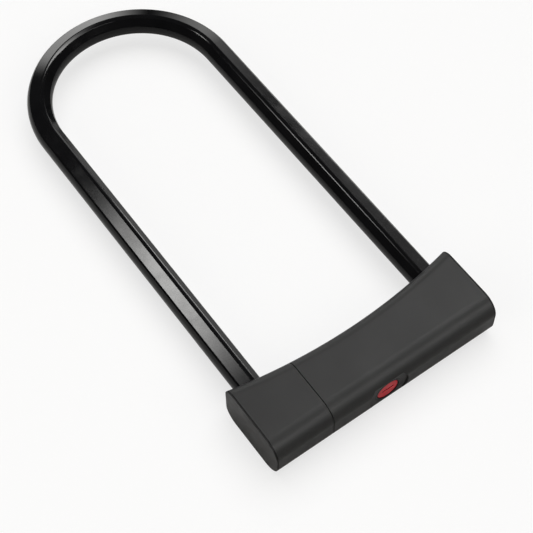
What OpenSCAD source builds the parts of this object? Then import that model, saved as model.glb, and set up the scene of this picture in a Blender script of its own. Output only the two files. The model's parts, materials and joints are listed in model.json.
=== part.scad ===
// U lock: a bent steel shackle with a glossy coating and a covered crossbar
// that holds a disc lock and two sliding bolts.
// X runs along the crossbar, Y from the crossbar to the bow, Z up.
// The origin is under the middle of the whole lock, which is unlocked with its shackle seated.

/* [Crossbar] */
// How far the crossbar reaches past the outside of each leg
end_overhang = 7.2; // [6.5:0.1:14]
// Depth of the crossbar at its ends, front to back
bar_depth = 47.5; // [42:0.5:54]
// Height of the crossbar
bar_height = 31; // [30:1:38]
// Radius of the two long edges along the front
front_round = 11; // [8:0.5:12]
// Radius of the upper long edge along the back
back_round = 7; // [5:0.5:9]
// Radius of the lower long edge along the back
back_round_low = 9; // [6:0.5:9.5]
// How far the middle of the back is drawn in
waist_sag = 8; // [6:0.5:9]
// Length of the short cover at the left end
end_cover_length = 37.5; // [32:0.5:44]
// Width of the joint line between the two covers
cover_joint = 0.3; // [0.2:0.05:0.6]
// Length of the tongue inside the joint between the covers
tongue_length = 3; // [2:0.5:5]
// Depth of the tongue below the outer surface of the covers
tongue_inset = 1.7; // [1.5:0.1:2]
// Cover thickness over the top and the bottom
cover_wall = 3.25; // [3:0.05:3.6]
// Cover thickness at the front
front_wall = 3.75; // [3.5:0.05:4.5]
// Cover thickness at the middle of the back
back_wall = 3.25; // [3:0.05:4]
// Cover thickness at the end faces
end_wall = 4; // [3:0.1:5]
// Gap between the covers and the steel housing
fit_gap = 0.25; // [0.1:0.05:0.4]

/* [Shackle] */
// Clear width between the legs
inside_width = 104.4; // [94:0.2:116]
// Clear length from the back of the crossbar ends to the bow
inside_length = 256.7; // [180:0.1:320]
// Diameter of the shackle over its coating
shackle_dia = 15.6; // [15:0.1:17]
// Distance from the middle of the bar to its two slanted inner flats
flat_distance = 7.4; // [6.8:0.1:7.6]
// Distance from the middle of the bar to its upper and lower flats
face_distance = 7; // [6.4:0.1:7.4]
// Outward tilt of the upper and lower flats, in degrees
face_tilt = 18; // [10:1:24]
// Thickness of the coating
coating = 1.3; // [0.8:0.1:1.5]
// How far the steel legs reach into the crossbar
leg_insertion = 36; // [32:0.5:37]
// Bevel at the ends of the legs
tip_bevel = 1.5; // [1:0.1:2]
// Gap around a leg in its socket
socket_gap = 0.3; // [0.2:0.05:0.5]
// Gap around the coated leg in the seal
seal_gap = 0.3; // [0.2:0.05:0.5]
// Gap around the coated leg in the cover
cover_hole_gap = 0.6; // [0.4:0.05:1]
// Wall of the leg seal
seal_wall = 2.7; // [2:0.1:3.5]
// Length of the leg seal
seal_length = 4.5; // [3:0.1:5]

/* [Keyway] */
// Diameter of the shallow round recess in the front
recess_dia = 26.4; // [24:0.1:29]
// Depth of that recess
recess_depth = 1; // [0.8:0.05:1.3]
// Diameter of the turning key plug
plug_dia = 13.7; // [13:0.1:14.2]
// Width of the key slot
key_width = 8; // [7:0.1:9]
// Height of the key slot
key_height = 1.5; // [1.3:0.05:2]
// How far the key plug sits below the recess floor
plug_inset = 0.3; // [0.2:0.05:0.6]
// Gap between the key plug and the ring around it
plug_gap = 0.4; // [0.3:0.05:0.6]
// Width of the ring around the key plug
bezel_width = 1.75; // [1.4:0.05:2.2]
// Width of the flange behind that ring
bezel_flange = 1.1; // [0.8:0.1:1.5]

/* [Lock cylinder] */
// Diameter of the cylinder body
cylinder_dia = 20; // [19.6:0.1:21]
// Diameter of the barrel that carries the discs
barrel_dia = 15.9; // [15.6:0.05:16.1]
// Running gap around the barrel
barrel_gap = 0.05; // [0.02:0.01:0.1]
// Wall of the barrel
barrel_wall = 1.45; // [1.2:0.05:1.6]
// Thickness of the lip at the front of the cylinder body
lip_thick = 1; // [0.8:0.1:1.4]
// Least thickness of the closed end of the barrel
barrel_end = 1; // [0.8:0.1:1.5]
// Width of the square drive behind the barrel
drive_width = 7; // [6:0.1:7.5]
// Thickness of a detainer disc
disc_thick = 1.4; // [1.2:0.05:1.5]
// Thickness of a spacer washer
washer_thick = 0.4; // [0.3:0.05:0.5]
// Gap around the discs in the barrel and around the key in the discs
disc_gap = 0.1; // [0.05:0.01:0.2]
// How far the hole in a washer stands back from the key
washer_gap = 0.4; // [0.2:0.05:0.6]
// Thickness of the hard plate in front of the discs
guard_thick = 1.8; // [1.5:0.1:2.2]
// Diameter of the sidebar
sidebar_dia = 2; // [1.6:0.1:2.2]
// How far the sidebar lies below the outside of the barrel
sidebar_inset = 0.25; // [0.1:0.05:0.4]
// Depth of the groove beside the sidebar in the cylinder body
sidebar_groove = 0.7; // [0.5:0.05:1]
// Diameter of the pin that holds the cylinder body
holding_pin_dia = 4; // [3:0.1:5]
// Brass left between that pin and the barrel
holding_wall = 0.7; // [0.5:0.05:0.9]
// Thickness of the retaining ring
ring_thick = 0.8; // [0.6:0.05:1]
// Depth of the groove that holds the retaining ring
ring_groove = 0.6; // [0.4:0.05:0.8]
// Width of the opening in the retaining ring
ring_opening = 3; // [2:0.1:4]
// Wall of the cylinder body behind the retaining ring
ring_edge = 0.6; // [0.5:0.05:1]

/* [Bolts] */
// Radius of the crank pins on the cam
crank_radius = 3.8; // [3.4:0.1:3.9]
// Diameter of the crank pins
crank_pin_dia = 2.6; // [2.2:0.1:2.8]
// Gap beside a crank pin in its slot
crank_gap = 0.45; // [0.4:0.05:0.6]
// Thickness of the cam
cam_thick = 2.4; // [2:0.1:2.8]
// Floor of the cam behind the square drive
cam_floor = 0.8; // [0.6:0.05:1]
// Thickness of a bolt
bolt_thick = 5.2; // [4.6:0.1:5.6]
// Height of a bolt
bolt_height = 13.4; // [13:0.1:14]
// Wall of a bolt's tail beyond its slot
tail_wall = 1.6; // [1.2:0.1:2]
// Steel left behind the bolts
rear_wall = 4.5; // [3:0.1:6]
// Gap around a bolt in its channel
bolt_gap = 0.3; // [0.2:0.05:0.4]
// Gap between a drawn-back bolt and the leg
bolt_tip_gap = 0.5; // [0.4:0.05:0.8]
// Gap around a bolt in the notch of the leg
notch_gap = 0.5; // [0.4:0.05:0.8]
// Thickness of the plugs at the ends of the bolt channel
end_plug_thick = 2.8; // [2:0.1:3]

/* [Cover screws] */
// Distance of each cover screw from the end of the tongue
screw_margin = 5.25; // [4.5:0.05:8]
// Distance of the cover screws from the front of the crossbar
screw_y = 18; // [14:0.5:22]
// Thread diameter of the cover screws
screw_dia = 3.5; // [3:0.1:4]
// Head diameter of the cover screws
screw_head = 6.4; // [6:0.1:7]
// How far the screws reach into the housing
screw_reach = 4.4; // [3:0.1:4.6]
// Width of the cross recess in the screw heads
screw_slot = 0.8; // [0.6:0.05:1]

/* [Hidden] */
$fn = 96;

// Small allowances shared by several pieces
press = 0.03;
play = 0.3;
over = 1;

// Main planes
mid_z = bar_height / 2;
total_length = bar_depth + inside_length + shackle_dia;
front_y = -total_length / 2;
back_y = front_y + bar_depth;
waist_y = back_y - waist_sag;
bar_r = shackle_dia / 2;
leg_x = inside_width / 2 + bar_r;
half_length = leg_x + bar_r + end_overhang;
waist_radius = (half_length * half_length + waist_sag * waist_sag) / (2 * waist_sag);
joint_x = end_cover_length - half_length;
screw_x = -joint_x + tongue_length + fit_gap + screw_margin;

// Shackle
bow_y = back_y + inside_length - inside_width / 2;
core_r = bar_r - coating;
tip_y = back_y - leg_insertion;

// Housing
housing_front = front_y + front_wall + fit_gap;
housing_back = waist_y - back_wall - fit_gap;
housing_half = half_length - end_wall - fit_gap;
housing_low = cover_wall + fit_gap;
housing_round = front_round - front_wall;
coat_end = housing_back + play * 2;

// Keyway, from the front inward
recess_y = front_y + recess_depth;
plug_y = recess_y + plug_inset;
bezel_in = plug_dia / 2 + plug_gap;
bezel_out = bezel_in + bezel_width;
flange_out = bezel_out + bezel_flange;
flange_back = front_y + front_wall - press;
flange_front = flange_back - (front_wall - recess_depth) / 3;

// Bolts and cam, from the back of the housing forward
channel_back = housing_back - rear_wall;
bolt_back = channel_back - bolt_gap;
bolt_front = bolt_back - bolt_thick;
channel_front = bolt_front - bolt_gap;
channel_half = bolt_height / 2 + bolt_gap;
cam_back = bolt_front - play;
cam_front = cam_back - cam_thick;

// Lock cylinder, between the front of the housing and the cam
barrel_r = barrel_dia / 2;
cylinder_r = cylinder_dia / 2;
sleeve_r = barrel_r + barrel_gap;
cylinder_back = cam_front - play;
ring_back = cylinder_back - ring_edge;
ring_front = ring_back - ring_thick;
barrel_back = ring_front - play;
lip_back = housing_front + lip_thick;
barrel_front = lip_back + play;
cavity_r = barrel_r - barrel_wall;
disc_r = cavity_r - disc_gap;
hub_r = cavity_r;
ring_in = hub_r + play;
ring_out = sleeve_r + ring_groove;
cam_r = cylinder_r - play * 2;
pin_y = (lip_back + cylinder_back) / 2;
pin_top = mid_z - sleeve_r - holding_wall;
sidebar_r = barrel_r - sidebar_dia / 2 - sidebar_inset;

// As many discs and washers as the barrel has room for
guard_back = barrel_front + guard_thick;
stack_y = guard_back + press;
disc_pitch = disc_thick + washer_thick + 2 * press;
disc_count = floor((barrel_back - barrel_end - stack_y) / disc_pitch);
cavity_back = stack_y + disc_count * disc_pitch;

// Crank pins and the bolts' tails
crank_x = crank_radius * sin(45);
bolt_travel = 2 * crank_x;
slot_half = crank_pin_dia / 2 + crank_gap;
tail_reach = crank_x + slot_half + tail_wall;
tail_root = tail_reach + play * 2;
bolt_tip = leg_x - core_r - bolt_tip_gap;
notch_depth = bolt_travel - bolt_tip_gap + notch_gap;

// A round bar along Y, on the middle plane of the lock
module rod(y0, y1, r, x = 0) {
    translate([x, y0, mid_z])
        rotate([-90, 0, 0])
            cylinder(h = y1 - y0, r = r);
}

// A pipe along Y
module pipe(y0, y1, r_out, r_in, x = 0) {
    difference() {
        rod(y0, y1, r_out, x);
        rod(y0 - over, y1 + over, r_in, x);
    }
}

// A block between two corners
module block(low, high) {
    translate(low)
        cube(high - low);
}

// The key slot, cut through from y0 to y1
module key_slot(y0, y1, room = 0) {
    w = key_width / 2 + room;
    h = key_height / 2 + room;
    block([-w, y0, mid_z - h], [w, y1, mid_z + h]);
}

// Section of a bar with a lower and an upper rounded front edge, Y to the right and Z up
module front_section(y0, y1, z0, z1, r_low, r_high) {
    difference() {
        translate([y0, z0])
            square([y1 - y0, z1 - z0]);
        difference() {
            translate([y0 - over, z0 - over])
                square(r_low + over);
            translate([y0 + r_low, z0 + r_low])
                circle(r = r_low);
        }
        difference() {
            translate([y0 - over, z1 - r_high])
                square(r_high + over);
            translate([y0 + r_high, z1 - r_high])
                circle(r = r_high);
        }
    }
}

// The same section drawn out along X, with both edges alike
module front_bar(x0, x1, y0, y1, z0, z1, r) {
    translate([x0, 0, 0])
        rotate([90, 0, 90])
            linear_extrude(x1 - x0)
                front_section(y0, y1, z0, z1, r, r);
}

// A thick ring whose hollow side is the drawn-in back, with its rounded edges
module back_ring(inset) {
    edge = waist_radius + inset;
    translate([0, waist_y + waist_radius, 0])
        rotate_extrude($fn = 720)
            front_section(edge, edge + 2 * bar_depth, inset, bar_height - inset,
                back_round_low - inset, back_round - inset);
}

// The outer form of the crossbar from x0 to x1, drawn in all round by an inset.
// Its front half is a straight bar and its back half is cut from the ring.
module crossbar_form(x0, x1, inset) {
    split_y = waist_y - max(back_round, back_round_low) - over;
    front_bar(x0, x1, front_y + inset, split_y, inset, bar_height - inset, front_round - inset);
    intersection() {
        block([x0, split_y, -over], [x1, back_y + over, bar_height + over]);
        back_ring(inset);
    }
}

// The space inside the covers
module cover_space() {
    front_bar(-half_length + end_wall, half_length - end_wall, front_y + front_wall,
        housing_back + fit_gap, cover_wall, bar_height - cover_wall, housing_round + fit_gap);
}

// Holes through a cover for a leg and its seal
module leg_holes(x) {
    rod(housing_back, back_y + over, bar_r + cover_hole_gap, x);
    rod(housing_back, housing_back + fit_gap + seal_length + press, bar_r + seal_gap + seal_wall + press, x);
}

// Countersunk hole for a cover screw
module screw_hole(x) {
    translate([x, front_y + screw_y, 0]) {
        translate([0, 0, -over])
            cylinder(h = cover_wall + 2 * over, r = screw_dia / 2 + press);
        translate([0, 0, -over])
            cylinder(h = over + press, r = screw_head / 2 + press);
        translate([0, 0, press])
            cylinder(h = screw_head / 2 - screw_dia / 2, r1 = screw_head / 2 + press, r2 = screw_dia / 2 + press);
    }
}

module main_cover() {
    color([0.27, 0.27, 0.27])
        difference() {
            union() {
                crossbar_form(joint_x + cover_joint / 2, half_length, 0);
                crossbar_form(joint_x - tongue_length, joint_x + cover_joint, tongue_inset);
            }
            cover_space();
            leg_holes(leg_x);
            screw_hole(screw_x);
            rod(front_y - over, recess_y, recess_dia / 2);
            rod(front_y, housing_front + front_round, bezel_out + press);
            rod(flange_front - press, housing_front + front_round, flange_out + press);
        }
}

module end_cover() {
    color([0.25, 0.25, 0.25])
        difference() {
            crossbar_form(-half_length, joint_x - cover_joint / 2, 0);
            crossbar_form(joint_x - tongue_length - fit_gap, joint_x + over, tongue_inset - fit_gap / 2);
            cover_space();
            leg_holes(-leg_x);
            screw_hole(-screw_x);
        }
}

// The outer form of the steel housing
module housing_form() {
    front_bar(-housing_half, housing_half, housing_front, housing_back,
        housing_low, bar_height - housing_low, housing_round);
}

module lock_housing() {
    color([0.62, 0.63, 0.65])
        difference() {
            housing_form();
            rod(housing_front - over, channel_front + press, cylinder_r + press);
            block([-housing_half - over, channel_front, mid_z - channel_half],
                [housing_half + over, channel_back, mid_z + channel_half]);
            for (x = [-leg_x, leg_x])
                rod(tip_y - play * 2, housing_back + over, core_r + socket_gap, x);
            for (x = [-screw_x, screw_x])
                translate([x, front_y + screw_y, housing_low - over])
                    cylinder(h = screw_reach + over + press, r = screw_dia / 2 + press);
            translate([0, pin_y, housing_low - over])
                cylinder(h = mid_z - housing_low, r = holding_pin_dia / 2 + press);
        }
}

// A plug in the end of the bolt channel
module channel_plug(side) {
    x0 = housing_half - end_plug_thick;
    mirror([side < 0 ? 1 : 0, 0, 0])
        block([x0, channel_front + press, mid_z - channel_half + press],
            [housing_half, channel_back - press, mid_z + channel_half - press]);
}

module left_end_plug() {
    color([0.5, 0.5, 0.52])
        channel_plug(-1);
}

module right_end_plug() {
    color([0.5, 0.5, 0.52])
        channel_plug(1);
}

// A rubber ring round a coated leg
module leg_seal(x) {
    pipe(housing_back + press, housing_back + fit_gap + seal_length, bar_r + seal_gap + seal_wall,
        bar_r + seal_gap, x);
}

module left_leg_seal() {
    color([0.1, 0.1, 0.1])
        leg_seal(-leg_x);
}

module right_leg_seal() {
    color([0.1, 0.1, 0.1])
        leg_seal(leg_x);
}

module keyway_bezel() {
    color([0.12, 0.12, 0.12])
        difference() {
            union() {
                rod(recess_y, flange_back, bezel_out);
                rod(flange_front, flange_back, flange_out);
            }
            rod(recess_y - over, flange_back + over, bezel_in);
        }
}

module cylinder_body() {
    groove = sidebar_dia / 2 + press;
    color([0.78, 0.66, 0.36])
        difference() {
            intersection() {
                rod(housing_front, cylinder_back, cylinder_r);
                housing_form();
            }
            rod(housing_front - over, lip_back + over, bezel_in);
            rod(lip_back, cylinder_back + over, sleeve_r);
            rod(ring_front - press, ring_back + press, ring_out + press);
            block([-groove, lip_back, mid_z], [groove, ring_front - play, mid_z + sleeve_r + sidebar_groove]);
            translate([0, pin_y, 0])
                cylinder(h = pin_top, r = holding_pin_dia / 2 + press);
        }
}

module cylinder_pin() {
    color([0.45, 0.45, 0.47])
        translate([0, pin_y, housing_low + press])
            cylinder(h = pin_top - housing_low - 2 * press, r = holding_pin_dia / 2);
}

module retaining_ring() {
    color([0.35, 0.35, 0.37])
        difference() {
            pipe(ring_front, ring_back, ring_out, ring_in);
            block([-ring_opening / 2, ring_front - over, mid_z - ring_out - over],
                [ring_opening / 2, ring_back + over, mid_z]);
        }
}

// A countersunk screw with a cross recess
module cover_screw(x) {
    cone = screw_head / 2 - screw_dia / 2;
    translate([x, front_y + screw_y, 0])
        difference() {
            union() {
                translate([0, 0, press])
                    cylinder(h = cone, r1 = screw_head / 2, r2 = screw_dia / 2);
                translate([0, 0, cone])
                    cylinder(h = housing_low + screw_reach - cone, r = screw_dia / 2);
            }
            for (turn = [0, 90])
                rotate([0, 0, turn])
                    translate([-screw_dia / 2, -screw_slot / 2, -over])
                        cube([screw_dia, screw_slot, over + cone]);
        }
}

module cover_screws() {
    color([0.2, 0.2, 0.21])
        for (x = [-screw_x, screw_x])
            cover_screw(x);
}

module key_plug() {
    color([0.78, 0.17, 0.2])
        difference() {
            rod(plug_y, barrel_front - press, plug_dia / 2);
            key_slot(plug_y - over, barrel_front + over);
        }
}

module drill_guard() {
    color([0.4, 0.4, 0.42])
        difference() {
            rod(barrel_front, guard_back, disc_r);
            key_slot(barrel_front - over, guard_back + over, disc_gap);
        }
}

module disc_barrel() {
    drive = drive_width / 2;
    slot = sidebar_dia / 2 + press;
    color([0.7, 0.7, 0.72])
        difference() {
            union() {
                rod(barrel_front, barrel_back, barrel_r);
                rod(barrel_back - press, cam_front - play / 2, hub_r);
                block([-drive, cam_front - play, mid_z - drive], [drive, cam_back - cam_floor - press, mid_z + drive]);
            }
            rod(barrel_front - over, cavity_back, cavity_r);
            block([-slot, stack_y, mid_z], [slot, cavity_back, mid_z + barrel_r + over]);
        }
}

module detainer_discs() {
    color([0.82, 0.68, 0.34])
        for (i = [0 : disc_count - 1]) {
            y = stack_y + i * disc_pitch;
            difference() {
                rod(y, y + disc_thick, disc_r);
                key_slot(y - over, y + disc_thick + over, disc_gap);
                translate([0, 0, sidebar_r])
                    rod(y - over, y + disc_thick + over, sidebar_dia / 2 + disc_gap);
            }
        }
}

module spacer_washers() {
    color([0.75, 0.76, 0.78])
        for (i = [0 : disc_count - 1]) {
            y = stack_y + i * disc_pitch + disc_thick + press;
            difference() {
                rod(y, y + washer_thick, disc_r);
                rod(y - over, y + washer_thick + over, key_width / 2 + washer_gap);
                translate([0, 0, sidebar_r])
                    rod(y - over, y + washer_thick + over, sidebar_dia / 2 + disc_gap);
            }
        }
}

module sidebar() {
    color([0.66, 0.67, 0.7])
        translate([0, 0, sidebar_r])
            rod(stack_y + press, cavity_back - press, sidebar_dia / 2);
}

module drive_cam() {
    drive = drive_width / 2 + press;
    color([0.55, 0.55, 0.58])
        difference() {
            rod(cam_front, cam_back, cam_r);
            block([-drive, cam_front - over, mid_z - drive], [drive, cam_back - cam_floor, mid_z + drive]);
        }
}

module crank_pins() {
    color([0.8, 0.8, 0.82])
        for (side = [-1, 1])
            translate([0, 0, side * crank_x])
                rod(cam_back, bolt_back - play, crank_pin_dia / 2, -side * crank_x);
}

// One bolt: a block towards the leg and a tail with an open slot over or under the middle
module sliding_bolt() {
    half = bolt_height / 2;
    difference() {
        union() {
            block([tail_root, bolt_front, mid_z - half], [bolt_tip, bolt_back, mid_z + half]);
            block([-tail_reach, bolt_front, mid_z + play], [tail_root + over, bolt_back, mid_z + half]);
        }
        block([-crank_x - slot_half, bolt_front - over, mid_z],
            [-crank_x + slot_half, bolt_back + over, mid_z + crank_radius + slot_half]);
    }
}

module right_bolt() {
    color([0.72, 0.73, 0.75])
        sliding_bolt();
}

module left_bolt() {
    color([0.72, 0.73, 0.75])
        translate([0, 0, mid_z])
            rotate([0, 180, 0])
                translate([0, 0, -mid_z])
                    sliding_bolt();
}

// Section of the bar: round, with two slanted flats towards the inside of the shackle and
// an upper and a lower flat that tilt outwards, all of them the given depth below the skin.
// The middle of the bar is at the given distance from the axis of the bow.
module bar_section(r, depth, distance) {
    flats = [[135, flat_distance], [225, flat_distance],
        [90 - face_tilt, face_distance], [face_tilt - 90, face_distance]];
    translate([distance, 0])
        difference() {
            circle(r = r);
            for (flat = flats)
                rotate(flat[0])
                    translate([flat[1] - depth, -r])
                        square([r, 2 * r]);
        }
}

// The bar from the legs' lower end round the bow
module bar_form(r, depth, low_y) {
    translate([0, bow_y, mid_z]) {
        rotate_extrude(angle = 180)
            bar_section(r, depth, leg_x);
        for (side = [0, 1])
            mirror([side, 0, 0])
                rotate([90, 0, 0])
                    linear_extrude(bow_y - low_y)
                        bar_section(r, depth, leg_x);
    }
}

// The round end of a leg with its bevel and its notch for the bolt
module leg_tip(side) {
    mirror([side, 0, 0])
        difference() {
            union() {
                rod(tip_y + tip_bevel, coat_end + press, core_r, leg_x);
                translate([leg_x, tip_y, mid_z])
                    rotate([-90, 0, 0])
                        cylinder(h = tip_bevel, r1 = core_r - tip_bevel, r2 = core_r);
            }
            block([leg_x - core_r - over, bolt_front - notch_gap, mid_z - core_r - over],
                [leg_x - core_r + notch_depth, bolt_back + notch_gap, mid_z + core_r + over]);
        }
}

module shackle_core() {
    color([0.5, 0.51, 0.53])
        union() {
            bar_form(core_r, coating, coat_end);
            leg_tip(0);
            leg_tip(1);
        }
}

module shackle_coating() {
    color([0.03, 0.03, 0.035])
        difference() {
            bar_form(bar_r, 0, coat_end + play);
            bar_form(core_r + press, coating - press, coat_end - over);
        }
}

main_cover();
end_cover();
lock_housing();
left_end_plug();
right_end_plug();
left_leg_seal();
right_leg_seal();
keyway_bezel();
cylinder_body();
cylinder_pin();
retaining_ring();
cover_screws();
key_plug();
drill_guard();
disc_barrel();
detainer_discs();
spacer_washers();
sidebar();
drive_cam();
crank_pins();
left_bolt();
right_bolt();
shackle_core();
shackle_coating();
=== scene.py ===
import json
import math
from contextlib import contextmanager

import bmesh
import bpy
from bpy.props import FloatProperty, FloatVectorProperty, PointerProperty
from mathutils import Matrix, Vector


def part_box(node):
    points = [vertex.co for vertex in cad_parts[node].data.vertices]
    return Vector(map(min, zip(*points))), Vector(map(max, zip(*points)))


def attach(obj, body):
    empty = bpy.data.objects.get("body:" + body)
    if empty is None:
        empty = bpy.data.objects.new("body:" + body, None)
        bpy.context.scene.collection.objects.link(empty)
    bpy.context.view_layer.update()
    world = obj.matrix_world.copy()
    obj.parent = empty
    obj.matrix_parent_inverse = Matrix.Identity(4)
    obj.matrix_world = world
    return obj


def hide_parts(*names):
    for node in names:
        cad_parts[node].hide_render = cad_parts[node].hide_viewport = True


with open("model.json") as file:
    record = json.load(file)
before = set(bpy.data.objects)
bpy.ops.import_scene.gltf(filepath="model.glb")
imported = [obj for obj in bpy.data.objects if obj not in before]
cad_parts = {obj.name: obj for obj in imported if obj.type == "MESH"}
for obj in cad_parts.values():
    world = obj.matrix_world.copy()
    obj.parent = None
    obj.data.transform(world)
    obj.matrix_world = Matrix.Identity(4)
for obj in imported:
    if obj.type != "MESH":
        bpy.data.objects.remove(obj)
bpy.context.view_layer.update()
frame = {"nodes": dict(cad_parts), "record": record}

bl_info = {
    "name": "U lock",
    "version": (1, 0, 0),
    "blender": (4, 5, 0),
    "location": "View3D > Sidebar > U lock",
    "description": "Models the visible pieces of a bicycle U lock on its CAD frame",
    "category": "Object",
}

MM = 0.001
NEAR = 0.002 * MM           # two places closer than this are the same
RING_NEAR = 0.02 * MM       # two radii closer than this are the same
WELD = 0.0005 * MM          # points of a finished piece closer than this are joined
PRESS = 0.03 * MM           # room round a piece that is pressed or set into another
PAST = 1 * MM               # how far a cutting tool reaches past a surface
TONGUE = 3 * MM             # from the middle of the covers' joint to the tongue's end
TONGUE_ROOT = 0.15 * MM     # how far the tongue reaches into its own cover
SHANK_CUT = 6 * MM          # length of the cut for a cover screw's shank
ALONG_X, ALONG_Y = Vector((1, 0, 0)), Vector((0, 1, 0))

# Places that the frame gives
MAIN_LOW, MAIN_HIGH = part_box("main_cover")
_, END_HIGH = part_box("end_cover")
HOUSING_LOW, HOUSING_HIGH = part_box("lock_housing")
SLEEVE_LOW, SLEEVE_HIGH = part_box("shackle_coating")
BEZEL_LOW, BEZEL_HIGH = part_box("keyway_bezel")
PLUG_LOW, PLUG_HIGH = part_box("key_plug")
SEAL_LOW, SEAL_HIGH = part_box("right_leg_seal")
SCREWS_LOW, SCREWS_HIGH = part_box("cover_screws")

HALF_LENGTH = MAIN_HIGH.x
FRONT_Y = MAIN_LOW.y
BACK_Y = MAIN_HIGH.y
HEIGHT = MAIN_HIGH.z
MID_Z = HEIGHT / 2
LEG_X = (SEAL_LOW.x + SEAL_HIGH.x) / 2
BAR_R = SLEEVE_HIGH.x - LEG_X
BOW_Y = SLEEVE_HIGH.y - BAR_R - LEG_X
SEAL_R = SEAL_HIGH.x - LEG_X


# ---------------------------------------------------------------- sizes and colours

def length(name, description, millimetres):
    """A length property, with its default in millimetres."""
    return FloatProperty(name=name, description=description, default=millimetres * MM,
                         min=0, unit="LENGTH", subtype="DISTANCE", precision=5)


def colour(name, description, value):
    """A colour property."""
    return FloatVectorProperty(name=name, description=description, default=value,
                               min=0, max=1, size=3, subtype="COLOR")


class LockSizes(bpy.types.PropertyGroup):
    """Sizes of the modelled pieces"""
    front_round: length("Front rounding", "Radius of the crossbar's front edges", 11)
    back_round: length("Back rounding", "Radius of the crossbar's upper back edge", 7)
    back_round_low: length("Lower back rounding", "Radius of its lower back edge", 9)
    waist_sag: length("Waist", "How far the back is drawn in at the middle", 8)
    end_edge: length("End edge", "Rounding round each end of the crossbar", 0.5)
    seam_inset: length("Seam inset", "From an end of the crossbar to its seam", 0.55)
    seam_width: length("Seam width", "Width of the seam round an end", 0.45)
    seam_depth: length("Seam depth", "Depth of the seam round an end", 0.9)
    joint_edge: length("Joint edge", "Rounding of the covers where they meet", 0.25)
    column: length("Column", "Spacing of the crossbar's columns of faces", 2.5)
    tongue_inset: length("Tongue inset", "How far the tongue lies below the skin", 1.7)
    fit: length("Fit", "Room round the housing and the tongue", 0.25)
    inner_round: length("Inner rounding", "Radius of the front edges of the cover's space", 7.5)
    leg_hole_gap: length("Leg hole gap", "Room round a coated leg in the cover", 0.6)
    screw_hole: length("Screw hole", "Radius of a screw's shank", 1.75)
    recess_radius: length("Recess radius", "Radius of the dish round the keyway", 13.2)
    recess_lip: length("Recess lip", "Slanted lip of the dish", 0.35)
    sleeve_wall: length("Sleeve wall", "Thickness of the shackle's coating", 1.3)
    flat_distance: length("Flat distance", "From the bar's middle to its inner flats", 7.4)
    face_distance: length("Face distance", "From its middle to its upper and lower flats", 7)
    face_tilt: FloatProperty(name="Face tilt", description="Outward tilt of those two flats",
                             default=math.radians(18), min=0, max=0.5, subtype="ANGLE")
    flat_edge: length("Flat edge", "Rounding beside the flats", 0.25)
    bezel_bore: length("Bezel bore", "Inner radius of the keyway's ring", 7.25)
    bezel_radius: length("Bezel radius", "Outer radius of the keyway's ring", 9)
    bezel_flange: length("Bezel flange", "Thickness of the ring's flange", 0.92)
    bezel_edge: length("Bezel edge", "Rounding of the ring's front", 0.3)
    plug_edge: length("Plug edge", "Rounding of the key plug's rim", 0.35)
    slot_width: length("Key slot width", "Width of the key slot", 8)
    slot_height: length("Key slot height", "Height of the key slot", 1.5)
    slot_edge: length("Key slot edge", "Slanted lip of the key slot", 0.25)
    # Depths of the painted shade in the key slot: from the first the plug's red is darkened, and
    # from the second it is fully painted in shade.
    slot_shade_from: length("Key slot light", "Depth at which the key slot starts to darken", 0.3)
    slot_shade_to: length("Key slot dark", "Depth from which the key slot is dark", 0.45)
    seal_bore: length("Seal bore", "Inner radius of a leg's seal", 8.1)
    seal_edge: length("Seal edge", "Rounding of a seal's lips", 0.6)


class LockColours(bpy.types.PropertyGroup):
    """Colours of the finishes"""
    cover: colour("Cover", "Soft-touch plastic of the crossbar", (0.038, 0.038, 0.0382))
    sleeve: colour("Coating", "Gloss coating of the shackle", (0.005, 0.005, 0.0055))
    plug: colour("Key plug", "Key plug's plastic", (0.92, 0.05, 0.07))
    bezel: colour("Bezel", "Ring round the key plug", (0.006, 0.006, 0.006))
    seal: colour("Seal", "Rubber of the leg seals", (0.015, 0.015, 0.016))
    shackle_steel: colour("Shackle steel", "Bare ends of the shackle", (0.50, 0.51, 0.53))
    housing_steel: colour("Housing steel", "Housing and barrel", (0.62, 0.63, 0.65))
    hard_steel: colour("Hardened steel", "Bolts, cam, pins and guard", (0.42, 0.42, 0.44))
    brass: colour("Brass", "Cylinder and discs", (0.78, 0.60, 0.27))
    screw: colour("Screws", "Blackened screws", (0.035, 0.035, 0.037))
    floor: colour("Floor", "Studio floor", (0.96, 0.96, 0.96))


# ---------------------------------------------------------------- modelling by hand

def deselect():
    """Leaves edit mode and deselects everything."""
    if bpy.context.mode != "OBJECT":
        bpy.ops.object.mode_set(mode="OBJECT")
    bpy.ops.object.select_all(action="DESELECT")


def hold(piece):
    """Makes this piece the only selected and active one."""
    deselect()
    piece.select_set(True)
    bpy.context.view_layer.objects.active = piece


def keep(name):
    """Names the new primitive and puts its place into its mesh."""
    piece = bpy.context.active_object
    piece.name = piece.data.name = name
    bpy.ops.object.transform_apply(location=True, rotation=True, scale=True)
    return piece


def block(name, low, high):
    """A block between two corners."""
    deselect()
    low, high = Vector(low), Vector(high)
    bpy.ops.mesh.primitive_cube_add(size=1, location=(low + high) / 2)
    bpy.context.active_object.scale = high - low
    return keep(name)


def rod(name, y0, y1, radius, x=0.0, sides=96):
    """A round rod along Y on the middle plane."""
    deselect()
    bpy.ops.mesh.primitive_cylinder_add(
        vertices=sides, radius=radius, depth=y1 - y0,
        location=(x, (y0 + y1) / 2, MID_Z), rotation=(math.pi / 2, 0, 0))
    return keep(name)


@contextmanager
def editing(piece):
    """Edit mode on one piece."""
    hold(piece)
    bpy.ops.object.mode_set(mode="EDIT")
    yield
    bpy.ops.object.mode_set(mode="OBJECT")


def select_all():
    """Selects the whole piece in edit mode."""
    bpy.ops.mesh.select_all(action="SELECT")


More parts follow.
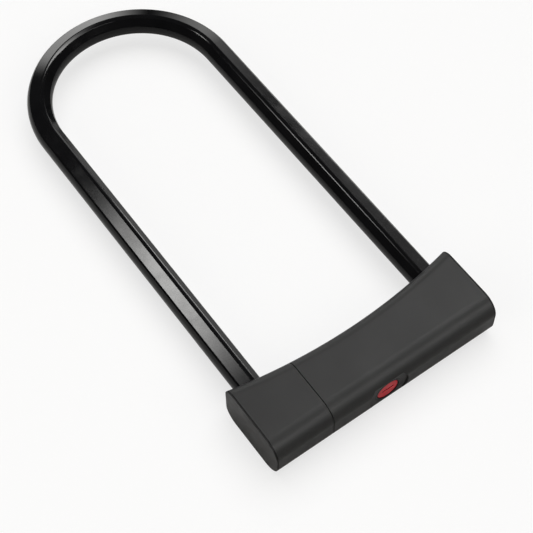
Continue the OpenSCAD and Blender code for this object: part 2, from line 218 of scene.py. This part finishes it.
def pick(piece, kind, test):
    """Selects the vertices, edges or faces that pass a test."""
    bpy.ops.mesh.select_mode(type=kind)
    bpy.ops.mesh.select_all(action="DESELECT")
    mesh = bmesh.from_edit_mesh(piece.data)
    parts = {"VERT": mesh.verts, "EDGE": mesh.edges, "FACE": mesh.faces}[kind]
    chosen = [part for part in parts if test(part)]
    if not chosen:
        raise RuntimeError(f"{piece.name}: no {kind.lower()} passes the test")
    for part in chosen:
        part.select_set(True)
    mesh.select_flush_mode()
    bmesh.update_edit_mesh(piece.data)


def pick_edges(piece, at):
    """Selects the edges whose two ends are both at the place."""
    pick(piece, "EDGE", lambda edge: all(at(v.co) for v in edge.verts))


def same(a, b):
    """Whether two lengths are the same."""
    return abs(a - b) < NEAR


def bevel(width, segments):
    """Rounds the selected edges."""
    bpy.ops.mesh.bevel(offset_type="OFFSET", offset=width, segments=segments, profile=0.5,
                       affect="EDGES", clamp_overlap=False)


def draw_out(move):
    """Extrudes the selection by a move."""
    bpy.ops.mesh.extrude_region_move(TRANSFORM_OT_translate={"value": move})


def slice_at(axis, place):
    """Cuts a loop of edges round the piece, across an axis at a place on it."""
    select_all()
    bpy.ops.mesh.bisect(plane_co=axis * place, plane_no=axis)


def flare(tool, front, depth, half_width, half_height):
    """Slants the front end of a cutting tool outwards, so that it leaves a lip of this
    depth at the front of the piece that it cuts."""
    lip = front + depth
    grow = depth + PAST
    with editing(tool):
        slice_at(ALONG_Y, lip)
        pick(tool, "VERT", lambda v: v.co.y < lip - NEAR)
        bpy.ops.transform.resize(value=(1 + grow / half_width, 1, 1 + grow / half_height),
                                 center_override=(0, front, MID_Z))


def modify(piece, kind, **settings):
    """Gives the piece a modifier with these settings and applies it."""
    hold(piece)
    modifier = piece.modifiers.new(kind.lower(), kind)
    for name, value in settings.items():
        setattr(modifier, name, value)
    bpy.ops.object.modifier_apply(modifier=modifier.name)


def combine(piece, tool, operation):
    """Cuts or joins the piece with a tool, which is used up."""
    modify(piece, "BOOLEAN", object=tool, operation=operation, solver="EXACT")
    bpy.data.objects.remove(tool)


def cut(piece, *tools):
    """Cuts the tools out of the piece."""
    for tool in tools:
        combine(piece, tool, "DIFFERENCE")


def turned(name, rings, x=0.0, sides=128):
    """A ring turned round the Y axis: a circle that is drawn out to each radius and
    place of its section in turn and closed on itself."""
    deselect()
    radius, y = rings[0]
    bpy.ops.mesh.primitive_circle_add(
        vertices=sides, radius=radius, fill_type="NOTHING",
        location=(x, y, MID_Z), rotation=(math.pi / 2, 0, 0))
    piece = keep(name)
    with editing(piece):
        bpy.ops.mesh.select_mode(type="EDGE")
        select_all()
        for next_radius, next_y in rings[1:]:
            draw_out((0, next_y - y, 0))
            grow = next_radius / radius
            bpy.ops.transform.resize(value=(grow, 1, grow), center_override=(x, next_y, MID_Z))
            radius, y = next_radius, next_y
        pick(piece, "EDGE", lambda edge: edge.is_boundary)
        bpy.ops.mesh.bridge_edge_loops()
        select_all()
        bpy.ops.mesh.normals_make_consistent(inside=False)
    return piece


def ring_edge(piece, radius, y, x, width, segments):
    """Rounds one ring of edges of a round piece."""
    with editing(piece):
        pick_edges(piece, lambda co: same(co.y, y)
                   and abs(math.hypot(co.x - x, co.z - MID_Z) - radius) < RING_NEAR)
        bevel(width, segments)


def finish(piece, material, body, node, angle=30):
    """Shades the piece, gives it its finish and sets it in the frame. Edges sharper than
    the angle, in degrees, stay sharp."""
    with editing(piece):
        select_all()
        bpy.ops.mesh.remove_doubles(threshold=WELD)
    hold(piece)
    bpy.ops.object.shade_smooth_by_angle(angle=math.radians(angle))
    modify(piece, "WEIGHTED_NORMAL", keep_sharp=True)
    piece.data.materials.clear()
    piece.data.materials.append(material)
    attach(piece, body)
    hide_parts(node)


# ---------------------------------------------------------------- finishes

NOISE_LOW, NOISE_HIGH = 0.3, 0.7    # most of a noise lies between these
# Painted shade: deep in the key slot the plug's colour is darkened to this share, standing in
# for shade.
SLOT_PAINTED_SHADE = 0.03                   # share of the plug's colour left deep in its key slot


def new_material(name):
    """A material with nothing but its output, its node tree and that output."""
    material = bpy.data.materials.new(name)
    material.use_nodes = True
    tree = material.node_tree
    tree.nodes.clear()
    return material, tree, tree.nodes.new("ShaderNodeOutputMaterial")


def new_node(tree, kind, values=None, **settings):
    """A shader node with its settings, and with values on its sockets."""
    node = tree.nodes.new(kind)
    for name, value in settings.items():
        setattr(node, name, value)
    for socket, value in (values or {}).items():
        node.inputs[socket].default_value = value
    return node


class Finish:
    """A material with a Principled shader and patterns on Object coordinates."""

    def __init__(self, name, base, roughness, values=None):
        self.material, self.tree, output = new_material(name)
        self.base, self.roughness = base, roughness
        self.shader = self.node("ShaderNodeBsdfPrincipled", {
            "Base Color": (*base, 1), "Roughness": roughness, **(values or {})})
        self.link(self.shader.outputs["BSDF"], output.inputs["Surface"])
        self.place = self.node("ShaderNodeTexCoord").outputs["Object"]

    def node(self, kind, values=None, **settings):
        return new_node(self.tree, kind, values, **settings)

    def link(self, source, target):
        self.tree.links.new(source, target)

    def noise(self, scale, detail=3, stretch=(1, 1, 1)):
        """Noise with features of about 1/scale metres."""
        mapping = self.node("ShaderNodeMapping", {"Scale": stretch})
        noise = self.node("ShaderNodeTexNoise", {"Scale": scale, "Detail": detail})
        self.link(self.place, mapping.inputs["Vector"])
        self.link(mapping.outputs["Vector"], noise.inputs["Vector"])
        return noise.outputs["Fac"]

    def tint(self, source, dark, light):
        """Varies the base colour between two shares of itself."""
        ramp = self.node("ShaderNodeValToRGB")
        stops = ((NOISE_LOW, dark), (NOISE_HIGH, light))
        for stop, (place, share) in zip(ramp.color_ramp.elements, stops):
            stop.position = place
            stop.color = (*[min(1, c * share) for c in self.base], 1)
        self.link(source, ramp.inputs["Fac"])
        self.link(ramp.outputs["Color"], self.shader.inputs["Base Color"])

    def roughen(self, source, less, more):
        """Varies the roughness from less to more than its own value."""
        spread = self.node("ShaderNodeMapRange", {
            "From Min": NOISE_LOW, "From Max": NOISE_HIGH,
            "To Min": self.roughness - less, "To Max": self.roughness + more})
        self.link(source, spread.inputs["Value"])
        self.link(spread.outputs["Result"], self.shader.inputs["Roughness"])

    def grain(self, source, strength, depth):
        """Adds relief; depth is in metres."""
        bump = self.node("ShaderNodeBump", {"Strength": strength, "Distance": depth})
        self.link(source, bump.inputs["Height"])
        self.link(bump.outputs["Normal"], self.shader.inputs["Normal"])

    def shade(self, start, end, share):
        """Paints shade into the tinted base colour: darkens it along Y, from one place to
        another, down to a share of itself."""
        split = self.node("ShaderNodeSeparateXYZ")
        depth = self.node("ShaderNodeMapRange", {
            "From Min": start, "From Max": end, "To Min": 1, "To Max": share})
        scale = self.node("ShaderNodeVectorMath", operation="SCALE")
        colour_input = self.shader.inputs["Base Color"]
        self.link(self.place, split.inputs["Vector"])
        self.link(split.outputs["Y"], depth.inputs["Value"])
        self.link(colour_input.links[0].from_socket, scale.inputs[0])
        self.link(depth.outputs["Result"], scale.inputs["Scale"])
        self.link(scale.outputs["Vector"], colour_input)


def soft_touch_plastic(colours):
    """Matt charcoal plastic with a very fine moulded grain."""
    look = Finish("soft_touch_charcoal", colours.cover, 0.39, {"Specular IOR Level": 0.06})
    look.tint(look.noise(scale=45, detail=4), dark=0.93, light=1.07)
    look.roughen(look.noise(scale=160), less=0.03, more=0.03)
    look.grain(look.noise(scale=2600, detail=2), strength=0.12, depth=0.05 * MM)
    return look.material


def gloss_coating(colours):
    """Deep black gloss coating with a trace of orange peel."""
    look = Finish("gloss_black_coating", colours.sleeve, 0.09, {"IOR": 1.25})
    look.tint(look.noise(scale=60), dark=0.8, light=1.2)
    look.roughen(look.noise(scale=90, detail=4), less=0.03, more=0.03)
    look.grain(look.noise(scale=420, detail=1), strength=0.03, depth=0.05 * MM)
    return look.material


def moulded_plastic(name, base, roughness, shade=None):
    """Satin moulded plastic, which may have shade painted into its colour along Y."""
    look = Finish(name, base, roughness, {"Specular IOR Level": 0.1})
    look.tint(look.noise(scale=220), dark=0.92, light=1.08)
    look.roughen(look.noise(scale=300), less=0.05, more=0.05)
    look.grain(look.noise(scale=3000, detail=2), strength=0.08, depth=0.03 * MM)
    if shade:
        look.shade(*shade)
    return look.material


def rubber(colours):
    """Matt rubber."""
    look = Finish("seal_rubber", colours.seal, 0.75)
    look.tint(look.noise(scale=300), dark=0.8, light=1.25)
    look.roughen(look.noise(scale=500, detail=2), less=0.07, more=0.07)
    look.grain(look.noise(scale=1800), strength=0.25, depth=0.06 * MM)
    return look.material


def bare_metal(name, base, roughness, stretch=(1, 1, 1), scratches=700):
    """Bare metal with tool marks, which may be stretched along one direction."""
    look = Finish(name, base, roughness, {"Metallic": 1})
    marks = look.noise(scratches, detail=4, stretch=stretch)
    look.tint(look.noise(scale=120), dark=0.86, light=1.1)
    look.roughen(marks, less=0.08, more=0.1)
    look.grain(marks, strength=0.12, depth=0.02 * MM)
    return look.material


# ---------------------------------------------------------------- crossbar

def back_line(sizes, x, inset):
    """Y of the drawn-in back at x."""
    radius = (HALF_LENGTH ** 2 + sizes.waist_sag ** 2) / (2 * sizes.waist_sag)
    centre = BACK_Y - sizes.waist_sag + radius
    return centre - math.sqrt((radius + inset) ** 2 - x * x)


def crossbar_form(name, sizes, x0, x1, inset=0.0, left_edge=0.0, right_edge=0.0):
    """A length of the crossbar's outer form, drawn in all round by an inset: a block cut
    into columns, with its back drawn in and its edges rounded."""
    front, low, high = FRONT_Y + inset, inset, HEIGHT - inset
    piece = block(name, (x0, front, low), (x1, BACK_Y, high))
    columns = max(2, round((x1 - x0) / sizes.column))
    places = [x0 + (x1 - x0) * i / columns for i in range(columns + 1)]
    with editing(piece):
        for x in places[1:-1]:
            slice_at(ALONG_X, x)
        for x in places:
            pick(piece, "VERT", lambda v: same(v.co.x, x) and same(v.co.y, BACK_Y))
            bpy.ops.transform.translate(value=(0, back_line(sizes, x, inset) - BACK_Y, 0))
        for z, back_round in ((low, sizes.back_round_low), (high, sizes.back_round)):
            pick_edges(piece, lambda co: same(co.y, front) and same(co.z, z))
            bevel(sizes.front_round - inset, segments=18)
            pick_edges(piece, lambda co: same(co.z, z)
                       and same(co.y, back_line(sizes, co.x, inset)))
            bevel(back_round - inset, segments=14)
        for x, edge in ((x0, left_edge), (x1, right_edge)):
            if edge:
                pick_edges(piece, lambda co: same(co.x, x))
                bevel(edge, segments=3)
    return piece


def round_end(piece, sizes, x):
    """Rounds the edge all round an end of the crossbar and sinks the seam next to it."""
    side = math.copysign(1, x)
    seam = [x - side * sizes.seam_inset, x - side * (sizes.seam_inset + sizes.seam_width)]
    with editing(piece):
        for place in seam:
            slice_at(ALONG_X, place)
        pick_edges(piece, lambda co: same(co.x, x))
        bevel(sizes.end_edge, segments=5)
        pick(piece, "FACE", lambda face: all(
            min(seam) - NEAR < v.co.x < max(seam) + NEAR for v in face.verts))
        bpy.ops.mesh.extrude_region_shrink_fatten(
            TRANSFORM_OT_shrink_fatten={"value": -sizes.seam_depth})


def housing_space(sizes):
    """The space that the steel housing fills inside the covers."""
    fit = Vector((sizes.fit,) * 3)
    low, high = HOUSING_LOW - fit, HOUSING_HIGH + fit
    piece = block("space", low, high)
    with editing(piece):
        pick_edges(piece, lambda co: same(co.y, low.y)
                   and (same(co.z, low.z) or same(co.z, high.z)))
        bevel(sizes.inner_round, segments=12)
    return piece


def leg_holes(sizes, x):
    """The hole for a leg and the wider one for its seal."""
    front = HOUSING_HIGH.y
    return (rod("leg_hole", front, BACK_Y + PAST, BAR_R + sizes.leg_hole_gap, x, sides=128),
            rod("seal_hole", front, SEAL_HIGH.y + PRESS, SEAL_R + PRESS, x, sides=128))


def screw_hole(sizes, side):
    """The countersunk hole for a cover screw, cut from below."""
    head = (SCREWS_HIGH.y - SCREWS_LOW.y) / 2
    place = (side * (SCREWS_HIGH.x - head), (SCREWS_LOW.y + SCREWS_HIGH.y) / 2)
    cone = head - sizes.screw_hole
    shrink = (sizes.screw_hole + PRESS) / (head + PRESS)
    deselect()
    bpy.ops.mesh.primitive_cylinder_add(vertices=64, radius=head + PRESS, depth=PAST,
                                        location=(*place, SCREWS_LOW.z - PAST / 2))
    piece = keep("screw_hole")
    with editing(piece):
        pick(piece, "FACE", lambda face: all(same(v.co.z, SCREWS_LOW.z) for v in face.verts))
        draw_out((0, 0, cone))
        bpy.ops.transform.resize(value=(shrink, shrink, 1),
                                 center_override=(*place, SCREWS_LOW.z + cone))
        draw_out((0, 0, SHANK_CUT))
    return piece


def keyway_recess(sizes):
    """The round dish in the front, with a slanted lip."""
    radius = sizes.recess_radius
    piece = rod("dish", FRONT_Y - PAST, BEZEL_LOW.y, radius, sides=160)
    flare(piece, FRONT_Y, sizes.recess_lip, radius, radius)
    return piece


class ULOCK_OT_covers(bpy.types.Operator):
    """Models the long cover and the end cover of the crossbar"""
    bl_idname = "ulock.covers"
    bl_label = "Covers"

    def execute(self, context):
        sizes = context.scene.lock_sizes
        plastic = soft_touch_plastic(context.scene.lock_colours)
        tongue_end, joint_left = MAIN_LOW.x, END_HIGH.x
        joint_right = 2 * (tongue_end + TONGUE) - joint_left
        inside = HOUSING_LOW.y + sizes.front_round

        main_cover = crossbar_form("main_cover_shell", sizes, joint_right, HALF_LENGTH,
                                   left_edge=sizes.joint_edge)
        round_end(main_cover, sizes, HALF_LENGTH)
        tongue = crossbar_form("tongue", sizes, tongue_end, joint_right + TONGUE_ROOT,
                               sizes.tongue_inset)
        combine(main_cover, tongue, "UNION")
        cut(main_cover, housing_space(sizes), *leg_holes(sizes, LEG_X), screw_hole(sizes, 1),
            keyway_recess(sizes),
            rod("bezel_hole", FRONT_Y, inside, sizes.bezel_radius + PRESS),
            rod("flange_hole", BEZEL_HIGH.y - sizes.bezel_flange - PRESS, inside,
                BEZEL_HIGH.x + PRESS))
        finish(main_cover, plastic, "crossbar", "main_cover")

        end_cover = crossbar_form("end_cover_shell", sizes, -HALF_LENGTH, joint_left,
                                  right_edge=sizes.joint_edge)
        round_end(end_cover, sizes, -HALF_LENGTH)
        pocket = crossbar_form("pocket", sizes, tongue_end - sizes.fit, joint_left + PAST,
                               sizes.tongue_inset - sizes.fit / 2)
        cut(end_cover, pocket, housing_space(sizes), *leg_holes(sizes, -LEG_X),
            screw_hole(sizes, -1))
        finish(end_cover, plastic, "crossbar", "end_cover")
        return {"FINISHED"}


# ---------------------------------------------------------------- shackle

CORNER_ROOM = 1.6   # points closer to a flat's corner than this times its rounding go


def bar_flats(sizes):
    """The left leg's two inner flats and its upper and lower ones, each with its outward
    direction and its distance from the bar's middle."""
    lean, rise = math.sin(sizes.face_tilt), math.cos(sizes.face_tilt)
    for side in (1, -1):
        yield Vector((1, 0, side)).normalized(), sizes.flat_distance
        yield Vector((-lean, 0, side * rise)), sizes.face_distance


class ULOCK_OT_shackle_sleeve(bpy.types.Operator):
    """Models the gloss coating of the shackle"""
    bl_idname = "ulock.shackle_sleeve"
    bl_label = "Shackle coating"

    def execute(self, context):
        sizes = context.scene.lock_sizes
        flats = list(bar_flats(sizes))
        start = Vector((-LEG_X, SLEEVE_LOW.y, MID_Z))
        leg = BOW_Y - SLEEVE_LOW.y

        def on_flat(vertex):
            return any(same((vertex.co - start).dot(out), far) for out, far in flats)

        def beside_flat(vertex):
            return not on_flat(vertex) and min(
                (vertex.co - corner).length for corner in corners) < room

        deselect()
        bpy.ops.mesh.primitive_circle_add(vertices=120, radius=BAR_R, fill_type="NGON",
                                          location=start, rotation=(math.pi / 2, 0, 0))
        sleeve = keep("shackle_sleeve")
        with editing(sleeve):
            # The flats, with their corners rounded
            for out, far in flats:
                select_all()
                bpy.ops.mesh.bisect(plane_co=start + out * far, plane_no=out,
                                    clear_outer=True, threshold=NEAR / 10)
            mesh = bmesh.from_edit_mesh(sleeve.data)
            corners = [v.co.copy() for v in mesh.verts if on_flat(v)]
            room = sizes.flat_edge * CORNER_ROOM
            pick(sleeve, "VERT", beside_flat)
            bpy.ops.mesh.dissolve_verts()
            pick(sleeve, "VERT", on_flat)
            bpy.ops.mesh.bevel(offset_type="OFFSET", offset=sizes.flat_edge, segments=4,
                               affect="VERTICES", clamp_overlap=False)
            # The outline drawn along one leg, round the bow and along the other leg
            select_all()
            bpy.ops.mesh.delete(type="ONLY_FACE")
            bpy.ops.mesh.select_mode(type="EDGE")
            select_all()
            draw_out((0, leg, 0))
            bpy.ops.mesh.spin(steps=96, angle=math.pi, center=(0, BOW_Y, MID_Z), axis=(0, 0, 1))
            draw_out((0, -leg, 0))
            select_all()
            bpy.ops.mesh.remove_doubles(threshold=NEAR)
            bpy.ops.mesh.normals_make_consistent(inside=False)
        modify(sleeve, "SOLIDIFY", thickness=sizes.sleeve_wall, offset=-1, use_even_offset=True)
        finish(sleeve, gloss_coating(context.scene.lock_colours), "shackle",
               "shackle_coating", angle=20)
        return {"FINISHED"}


# ---------------------------------------------------------------- keyway and seals

class ULOCK_OT_keyway_ring(bpy.types.Operator):
    """Models the ring round the key plug"""
    bl_idname = "ulock.keyway_ring"
    bl_label = "Keyway ring"

    def execute(self, context):
        sizes, colours = context.scene.lock_sizes, context.scene.lock_colours
        front, back = BEZEL_LOW.y, BEZEL_HIGH.y
        step = back - sizes.bezel_flange
        bezel = turned("keyway_ring", [
            (sizes.bezel_bore, front), (sizes.bezel_radius, front), (sizes.bezel_radius, step),
            (BEZEL_HIGH.x, step), (BEZEL_HIGH.x, back), (sizes.bezel_bore, back)])
        for radius in (sizes.bezel_bore, sizes.bezel_radius):
            ring_edge(bezel, radius, front, 0, sizes.bezel_edge, segments=4)
        black = moulded_plastic("bezel_black", colours.bezel, roughness=0.42)
        finish(bezel, black, "crossbar", "keyway_bezel")
        return {"FINISHED"}


class ULOCK_OT_key_plug(bpy.types.Operator):
    """Models the red key plug and its slot, with shade painted into the slot's depth"""
    bl_idname = "ulock.key_plug"
    bl_label = "Key plug"

    def execute(self, context):
        sizes, colours = context.scene.lock_sizes, context.scene.lock_colours
        front, back = PLUG_LOW.y, PLUG_HIGH.y
        plug = rod("red_key_plug", front, back, PLUG_HIGH.x, sides=128)
        ring_edge(plug, PLUG_HIGH.x, front, 0, sizes.plug_edge, segments=5)
        half = Vector((sizes.slot_width / 2, 0, sizes.slot_height / 2))
        slot = block("slot", Vector((0, front - PAST, MID_Z)) - half,
                     Vector((0, back + PAST, MID_Z)) + half)
        flare(slot, front, sizes.slot_edge, half.x, half.z)
        cut(plug, slot)
        # The slot's depth gets painted shade: the red is darkened there to stand in for shade.
        red = moulded_plastic(
            "plug_red", colours.plug, roughness=0.4,
            shade=(front + sizes.slot_shade_from, front + sizes.slot_shade_to, SLOT_PAINTED_SHADE))
        finish(plug, red, "key_barrel", "key_plug")
        return {"FINISHED"}


class ULOCK_OT_leg_seals(bpy.types.Operator):
    """Models the rubber ring round each leg"""
    bl_idname = "ulock.leg_seals"
    bl_label = "Leg seals"

    def execute(self, context):
        sizes = context.scene.lock_sizes
        material = rubber(context.scene.lock_colours)
        bore, front, back = sizes.seal_bore, SEAL_LOW.y, SEAL_HIGH.y
        section = [(bore, front), (SEAL_R, front), (SEAL_R, back), (bore, back)]
        for name, x in (("left", -LEG_X), ("right", LEG_X)):
            seal = turned(name + "_wiper_ring", section, x, sides=96)
            for y in (front, back):
                ring_edge(seal, bore, y, x, sizes.seal_edge, segments=4)
            finish(seal, material, "crossbar", name + "_leg_seal")
        return {"FINISHED"}


class ULOCK_OT_carried_parts(bpy.types.Operator):
    """Gives the pieces that come from the CAD model their metals"""
    bl_idname = "ulock.carried_parts"
    bl_label = "Steel and brass parts"

    def execute(self, context):
        colours = context.scene.lock_colours
        marks_along_x, marks_along_y = (0.06, 1, 1), (1, 0.06, 1)
        finishes = {
            "shackle_steel": bare_metal("ground_shackle_steel", colours.shackle_steel,
                                        roughness=0.34, stretch=marks_along_y),
            "housing_steel": bare_metal("milled_housing_steel", colours.housing_steel,
                                        roughness=0.38, stretch=marks_along_x),
            "hard_steel": bare_metal("hardened_steel", colours.hard_steel, roughness=0.32),
            "brass": bare_metal("turned_brass", colours.brass, roughness=0.3, scratches=900),
            "screw_steel": bare_metal("blackened_steel", colours.screw, roughness=0.45,
                                      scratches=1200),
        }
        for subpart in frame["record"]["subparts"]:
            material = finishes.get(subpart["material_slot"])
            if material:
                node = frame["nodes"][subpart["node"]]
                node.data.materials.clear()
                node.data.materials.append(material)
        return {"FINISHED"}


# ---------------------------------------------------------------- stage

CAMERA_PLACE = (-0.2418, -0.3924, 0.6834)
CAMERA_RIGHT = (0.81233, -0.58314, -0.00846)
CAMERA_UP = (0.50083, 0.69010, 0.52242)
CAMERA_BACK = (-0.29881, -0.42862, 0.85264)
CAMERA_LENS, CAMERA_SENSOR = 92.47, 36      # in millimetres
CAMERA_NEAR = 0.01

FLOOR_SIZE = 40
FLOOR_SHADOW = 0.3                  # share of the floor's look that comes from the lamps
FLOOR_BOUNCE = (0.15, 0.14, 0.12)   # colour of the light that the floor throws back
ROOM = (0.05, 0.05, 0.052)          # colour of the room round the stage
PANEL_GLOW = (1, 0.995, 0.98)       # colour of every softbox
PANEL_HEIGHT = 4                    # height of the level softboxes
PLAIN, WARM = (1, 1, 1), (1, 0.97, 0.9)


def level(x0, x1, y0, y1):
    """The corners of a level panel overhead."""
    return [(x, y, PANEL_HEIGHT) for y in (y0, y1) for x in (x0, x1)]


def upright(x0, y0, x1, y1, z0, z1):
    """The corners of an upright panel from one place on the floor plan to another."""
    return [(x, y, z) for z in (z0, z1) for x, y in ((x0, y0), (x1, y1))]


# Name, direction, strength, angle across in degrees and tint of each lamp
SUNS = (
    ("key_lamp", (0.25, 0.3, 0.92), 2.15, 60, PLAIN),
    ("left_fill", (-0.85, 0.1, 0.5), 0.7, 50, WARM),
    ("front_lamp", (0.3, -0.7, 0.65), 0.65, 40, WARM),
)

# Name, corners, strength and soft shares of each softbox
SOFTBOXES = (
    ("front_softbox", upright(-0.2, -0.71, 0.75, -0.71, 0.12, 0.67), 11, (0.1, 0.1, 0.75, 0.12)),
    ("left_softbox", level(-1.735, -1.415, 1.58, 2.78), 36, (0, 0, 0.43, 0.5)),
    ("back_softbox", upright(-0.3, 4.1, 2.55, 4.1, 0.6, 2.3), 7, (0.2, 0.45, 0, 0)),
    ("corner_softbox", upright(2.06, 3.43, 3.39, 2.12, 0.75, 2.1), 4.3, (0.6, 0.42, 0, 0)),
    ("right_softbox", upright(3.35, 2.2, 3.8, 1.24, 1.71, 2.4), 1, (0.04, 0.1, 0, 0)),
    ("edge_softbox", upright(3.15, 2.46, 3.7, 1.5, 0.8, 1.7), 18, (0.1, 0.1, 0, 0)),
    ("top_softbox", level(0.8, 2.6, -1.25, 1.8), 24, (1, 0, 0.35, 0.2)),
)


def add_camera():
    """The camera, at the photograph's place."""
    data = bpy.data.cameras.new("camera")
    data.sensor_fit = "HORIZONTAL"
    data.sensor_width = CAMERA_SENSOR
    data.lens = CAMERA_LENS
    data.clip_start = CAMERA_NEAR
    camera = bpy.data.objects.new("camera", data)
    bpy.context.scene.collection.objects.link(camera)
    turn = Matrix((CAMERA_RIGHT, CAMERA_UP, CAMERA_BACK)).transposed()
    camera.matrix_world = Matrix.Translation(CAMERA_PLACE) @ turn.to_4x4()
    bpy.context.scene.camera = camera


def add_sun(name, towards, strength, angle, tint):
    """A soft far lamp in the given direction, which lights the lock but isn't mirrored
    in gloss or metal."""
    data = bpy.data.lights.new(name, "SUN")
    data.color = tint
    data.energy = strength
    data.angle = math.radians(angle)
    lamp = bpy.data.objects.new(name, data)
    bpy.context.scene.collection.objects.link(lamp)
    lamp.rotation_euler = Vector(towards).to_track_quat("Z", "Y").to_euler()
    lamp.visible_glossy = False


def add_softbox(name, corners, strength, soft):
    """A soft panel that gloss and metal mirror and that lights nothing else, between its
    low left, low right, high left and high right corners. Soft gives the share of the panel
    over which it brightens from its left, right, low and high side."""
    deselect()
    bpy.ops.mesh.primitive_plane_add(size=1)
    panel = keep(name)
    for vertex, corner in zip(panel.data.vertices, corners):
        vertex.co = corner
    glow, tree, output = new_material(name + "_glow")
    link = tree.links.new
    emission = new_node(tree, "ShaderNodeEmission", {"Color": (*PANEL_GLOW, 1)})
    place = new_node(tree, "ShaderNodeTexCoord")
    split = new_node(tree, "ShaderNodeSeparateXYZ")
    link(place.outputs["UV"], split.inputs["Vector"])
    left, right, low, high = soft
    total = None
    for axis, dark, bright in (("X", 0, left), ("X", 1, 1 - right),
                               ("Y", 0, low), ("Y", 1, 1 - high)):
        if dark == bright:
            continue
        fade = new_node(tree, "ShaderNodeMapRange", {"From Min": dark, "From Max": bright},
                        interpolation_type="SMOOTHSTEP")
        times = new_node(tree, "ShaderNodeMath", {1: strength}, operation="MULTIPLY")
        link(split.outputs[axis], fade.inputs["Value"])
        link(fade.outputs["Result"], times.inputs[0])
        if total:
            link(total, times.inputs[1])
        total = times.outputs[0]
    link(total, emission.inputs["Strength"])
    link(emission.outputs["Emission"], output.inputs["Surface"])
    panel.data.materials.append(glow)
    panel.visible_camera = False
    panel.visible_diffuse = False
    panel.visible_shadow = False


def add_floor(colours):
    """A wide pale floor. It looks nearly white and keeps a faint shadow of the lock, gloss
    and metal show it as the lamps light it, and it throws little light back."""
    deselect()
    bpy.ops.mesh.primitive_plane_add(size=FLOOR_SIZE)
    floor = keep("floor")
    pale, tree, output = new_material("floor_pale")
    link = tree.links.new
    white = new_node(tree, "ShaderNodeEmission", {"Strength": 1})
    shaded = new_node(tree, "ShaderNodeBsdfDiffuse", {"Color": (*colours.floor, 1)})
    bounced = new_node(tree, "ShaderNodeBsdfDiffuse", {"Color": (*FLOOR_BOUNCE, 1)})
    seen = new_node(tree, "ShaderNodeMixShader")
    mix = new_node(tree, "ShaderNodeMixShader")
    path = new_node(tree, "ShaderNodeLightPath")
    # The lamps' share: FLOOR_SHADOW for the camera, and all of it for gloss and metal
    share = new_node(tree, "ShaderNodeMath", {1: FLOOR_SHADOW - 1, 2: 1},
                     operation="MULTIPLY_ADD")
    link(path.outputs["Is Camera Ray"], share.inputs[0])
    link(share.outputs[0], seen.inputs["Fac"])
    link(white.outputs["Emission"], seen.inputs[1])
    link(shaded.outputs["BSDF"], seen.inputs[2])
    total = path.outputs["Is Camera Ray"]
    for name in ("Is Glossy Ray", "Is Transmission Ray"):
        add = new_node(tree, "ShaderNodeMath", operation="ADD", use_clamp=True)
        link(total, add.inputs[0])
        link(path.outputs[name], add.inputs[1])
        total = add.outputs[0]
    link(total, mix.inputs["Fac"])
    link(bounced.outputs["BSDF"], mix.inputs[1])
    link(seen.outputs["Shader"], mix.inputs[2])
    link(mix.outputs["Shader"], output.inputs["Surface"])
    floor.data.materials.append(pale)


def add_world():
    """A dim room."""
    world = bpy.data.worlds.new("studio")
    bpy.context.scene.world = world
    world.use_nodes = True
    background = world.node_tree.nodes["Background"]
    background.inputs["Color"].default_value = (*ROOM, 1)
    background.inputs["Strength"].default_value = 1


class ULOCK_OT_stage(bpy.types.Operator):
    """Sets up the floor, the lamps and the camera"""
    bl_idname = "ulock.stage"
    bl_label = "Studio stage"

    def execute(self, context):
        context.scene.view_settings.view_transform = "Standard"
        add_camera()
        add_floor(context.scene.lock_colours)
        add_world()
        for sun in SUNS:
            add_sun(*sun)
        for softbox in SOFTBOXES:
            add_softbox(*softbox)
        return {"FINISHED"}


# ---------------------------------------------------------------- panel and run

class ULOCK_PT_panel(bpy.types.Panel):
    """The lock's pieces, sizes and colours"""
    bl_idname = "ULOCK_PT_panel"
    bl_label = "U lock"
    bl_space_type = "VIEW_3D"
    bl_region_type = "UI"
    bl_category = "U lock"

    def draw(self, context):
        for operator in OPERATORS:
            self.layout.operator(operator.bl_idname)
        for group in (context.scene.lock_sizes, context.scene.lock_colours):
            box = self.layout.box()
            for name in group.__annotations__:
                box.prop(group, name)


OPERATORS = (ULOCK_OT_stage, ULOCK_OT_covers, ULOCK_OT_shackle_sleeve, ULOCK_OT_keyway_ring,
             ULOCK_OT_key_plug, ULOCK_OT_leg_seals, ULOCK_OT_carried_parts)
CLASSES = (LockSizes, LockColours, *OPERATORS, ULOCK_PT_panel)


def register():
    for cls in CLASSES:
        bpy.utils.register_class(cls)
    bpy.types.Scene.lock_sizes = PointerProperty(type=LockSizes)
    bpy.types.Scene.lock_colours = PointerProperty(type=LockColours)


def unregister():
    del bpy.types.Scene.lock_sizes
    del bpy.types.Scene.lock_colours
    for cls in reversed(CLASSES):
        bpy.utils.unregister_class(cls)


def main():
    register()
    bpy.ops.ulock.stage()
    bpy.ops.ulock.covers()
    bpy.ops.ulock.shackle_sleeve()
    bpy.ops.ulock.keyway_ring()
    bpy.ops.ulock.key_plug()
    bpy.ops.ulock.leg_seals()
    bpy.ops.ulock.carried_parts()


if __name__ == "__main__":
    main()
